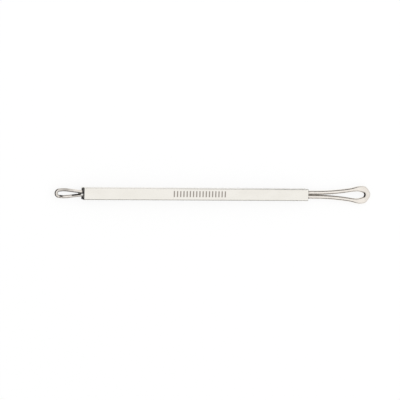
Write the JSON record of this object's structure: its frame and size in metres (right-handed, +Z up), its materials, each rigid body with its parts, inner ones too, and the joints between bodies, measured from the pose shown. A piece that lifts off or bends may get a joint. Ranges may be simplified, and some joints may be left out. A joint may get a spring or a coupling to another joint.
{
  "type": "blackhead extractor",
  "caption": "Slim square-handled skin tool with a narrow wire loop at one end and a larger loop, hammered flat at its leaning tip, at the other.",
  "frame": {"origin": "on the surface that the handle lies on, under the middle of the whole tool's length and width", "axes": "+X along the handle towards the large loop, +Y across the handle, +Z up out of the face opposite the one it lies on"},
  "size_m": [0.1104, 0.0062, 0.004],
  "materials": {
    "nickel_plate": "bright nickel plate",
    "nickel_wire": "bright nickel plate",
    "brass_plug": "plain machined",
    "soft_solder": "satin"
  },
  "bodies": {
    "root": {"handle_tube": "nickel_plate", "small_loop": "nickel_wire", "large_loop": "nickel_wire", "small_end_plug": "brass_plug", "large_end_plug": "brass_plug", "small_end_solder": "soft_solder", "large_end_solder": "soft_solder"}
  },
  "joints": []
}
